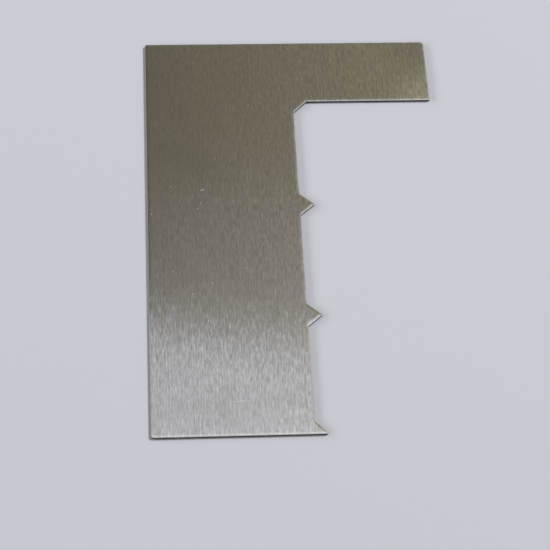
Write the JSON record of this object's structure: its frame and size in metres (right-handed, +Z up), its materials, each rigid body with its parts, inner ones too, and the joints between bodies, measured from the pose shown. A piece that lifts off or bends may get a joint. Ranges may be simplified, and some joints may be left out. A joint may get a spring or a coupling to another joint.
{
  "type": "cake comb",
  "caption": "Flat stainless cake comb: an arm lies over the cake, a tall blade stands beside it, and pointed teeth on its inner edge mark level lines in the icing.",
  "frame": {"origin": "on the underside, below the middle of the outline's bounding rectangle", "axes": "+Z up out of the flat face, +Y along the blade towards the arm, +X from the blade's straight back edge towards the teeth"},
  "size_m": [0.155, 0.24, 0.0015],
  "materials": {
    "brushed_stainless": "brushed along the blade"
  },
  "bodies": {
    "root": {"comb_plate": "brushed_stainless"}
  },
  "joints": []
}
